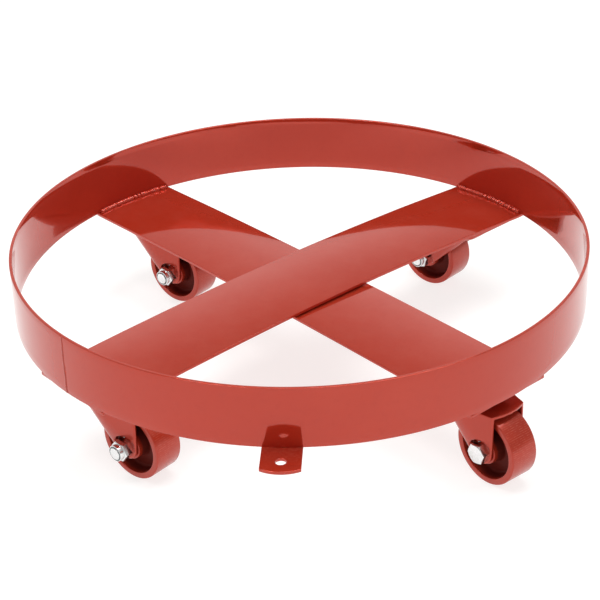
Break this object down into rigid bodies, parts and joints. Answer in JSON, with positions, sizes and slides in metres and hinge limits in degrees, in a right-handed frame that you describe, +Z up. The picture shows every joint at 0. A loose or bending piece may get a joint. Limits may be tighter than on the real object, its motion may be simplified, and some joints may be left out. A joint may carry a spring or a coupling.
{
  "type": "drum dolly",
  "caption": "Low round steel ring on two crossed flat bars with swivel casters beneath and a pierced tow tab, for rolling an upright drum.",
  "frame": {"origin": "middle of the top face of the upper crossbar, where the two bars cross on the ring's axis", "axes": "+Z up along the ring's axis; +Y away from the tow tab; +X to the right seen from the tow tab; the bars lie at 45 degrees to X and Y"},
  "size_m": [0.597, 0.635, 0.1603],
  "materials": {
    "red_enamel": "gloss red enamel over mild steel",
    "red_weld": "gloss red enamel over rippled weld bead",
    "red_caster": "semi-gloss red paint over stamped steel",
    "red_wheel": "satin red paint over machined cast iron",
    "zinc": "bright zinc plate",
    "ball_steel": "hardened steel balls in grease",
    "bush_steel": "turned steel sleeve"
  },
  "bodies": {
    "frame": {"drum_ring": "red_enamel", "ring_seam_weld": "red_weld", "upper_crossbar": "red_enamel", "lower_crossbar": "red_enamel", "crossbar_end_welds": "red_weld", "crossing_welds": "red_weld", "tow_tab": "red_enamel", "tow_tab_weld": "red_weld", "front_left_top_plate": "red_caster", "front_left_plate_welds": "red_weld", "front_left_king_pin": "red_caster", "front_left_race_cup": "red_caster", "front_right_top_plate": "red_caster", "front_right_plate_welds": "red_weld", "front_right_king_pin": "red_caster", "front_right_race_cup": "red_caster", "back_left_top_plate": "red_caster", "back_left_plate_welds": "red_weld", "back_left_king_pin": "red_caster", "back_left_race_cup": "red_caster", "back_right_top_plate": "red_caster", "back_right_plate_welds": "red_weld", "back_right_king_pin": "red_caster", "back_right_race_cup": "red_caster"},
    "front_left_swivel": {"front_left_upper_balls": "ball_steel", "front_left_lower_balls": "ball_steel", "front_left_fork": "red_caster", "front_left_axle_bolt": "zinc", "front_left_axle_nut": "zinc", "front_left_axle_bush": "bush_steel"},
    "front_left_roller": {"front_left_wheel": "red_wheel"},
    "front_right_swivel": {"front_right_upper_balls": "ball_steel", "front_right_lower_balls": "ball_steel", "front_right_fork": "red_caster", "front_right_axle_bolt": "zinc", "front_right_axle_nut": "zinc", "front_right_axle_bush": "bush_steel"},
    "front_right_roller": {"front_right_wheel": "red_wheel"},
    "back_left_swivel": {"back_left_upper_balls": "ball_steel", "back_left_lower_balls": "ball_steel", "back_left_fork": "red_caster", "back_left_axle_bolt": "zinc", "back_left_axle_nut": "zinc", "back_left_axle_bush": "bush_steel"},
    "back_left_roller": {"back_left_wheel": "red_wheel"},
    "back_right_swivel": {"back_right_upper_balls": "ball_steel", "back_right_lower_balls": "ball_steel", "back_right_fork": "red_caster", "back_right_axle_bolt": "zinc", "back_right_axle_nut": "zinc", "back_right_axle_bush": "bush_steel"},
    "back_right_roller": {"back_right_wheel": "red_wheel"}
  },
  "joints": [
    {"name": "front_left_swivel_turn", "type": "hinge", "parent": "frame", "child": "front_left_swivel", "pos_m": [-0.17466, -0.17466, -0.0119], "axis": [0, 0, 1], "continuous": true},
    {"name": "front_left_wheel_spin", "type": "hinge", "parent": "front_left_swivel", "child": "front_left_roller", "pos_m": [-0.14597, -0.1969, -0.068], "axis": [0.6129, 0.7902, 0], "continuous": true},
    {"name": "front_right_swivel_turn", "type": "hinge", "parent": "frame", "child": "front_right_swivel", "pos_m": [0.17466, -0.17466, -0.0119], "axis": [0, 0, 1], "continuous": true},
    {"name": "front_right_wheel_spin", "type": "hinge", "parent": "front_right_swivel", "child": "front_right_roller", "pos_m": [0.19923, -0.20138, -0.068], "axis": [0.7361, 0.6769, 0], "continuous": true},
    {"name": "back_left_swivel_turn", "type": "hinge", "parent": "frame", "child": "back_left_swivel", "pos_m": [-0.17466, 0.17466, -0.0119], "axis": [0, 0, 1], "continuous": true},
    {"name": "back_left_wheel_spin", "type": "hinge", "parent": "back_left_swivel", "child": "back_left_roller", "pos_m": [-0.14533, 0.15327, -0.068], "axis": [0.5892, 0.808, 0], "continuous": true},
    {"name": "back_right_swivel_turn", "type": "hinge", "parent": "frame", "child": "back_right_swivel", "pos_m": [0.17466, 0.17466, -0.0119], "axis": [0, 0, 1], "continuous": true},
    {"name": "back_right_wheel_spin", "type": "hinge", "parent": "back_right_swivel", "child": "back_right_roller", "pos_m": [0.14657, 0.19765, -0.068], "axis": [-0.6334, -0.7738, 0], "continuous": true}
  ]
}
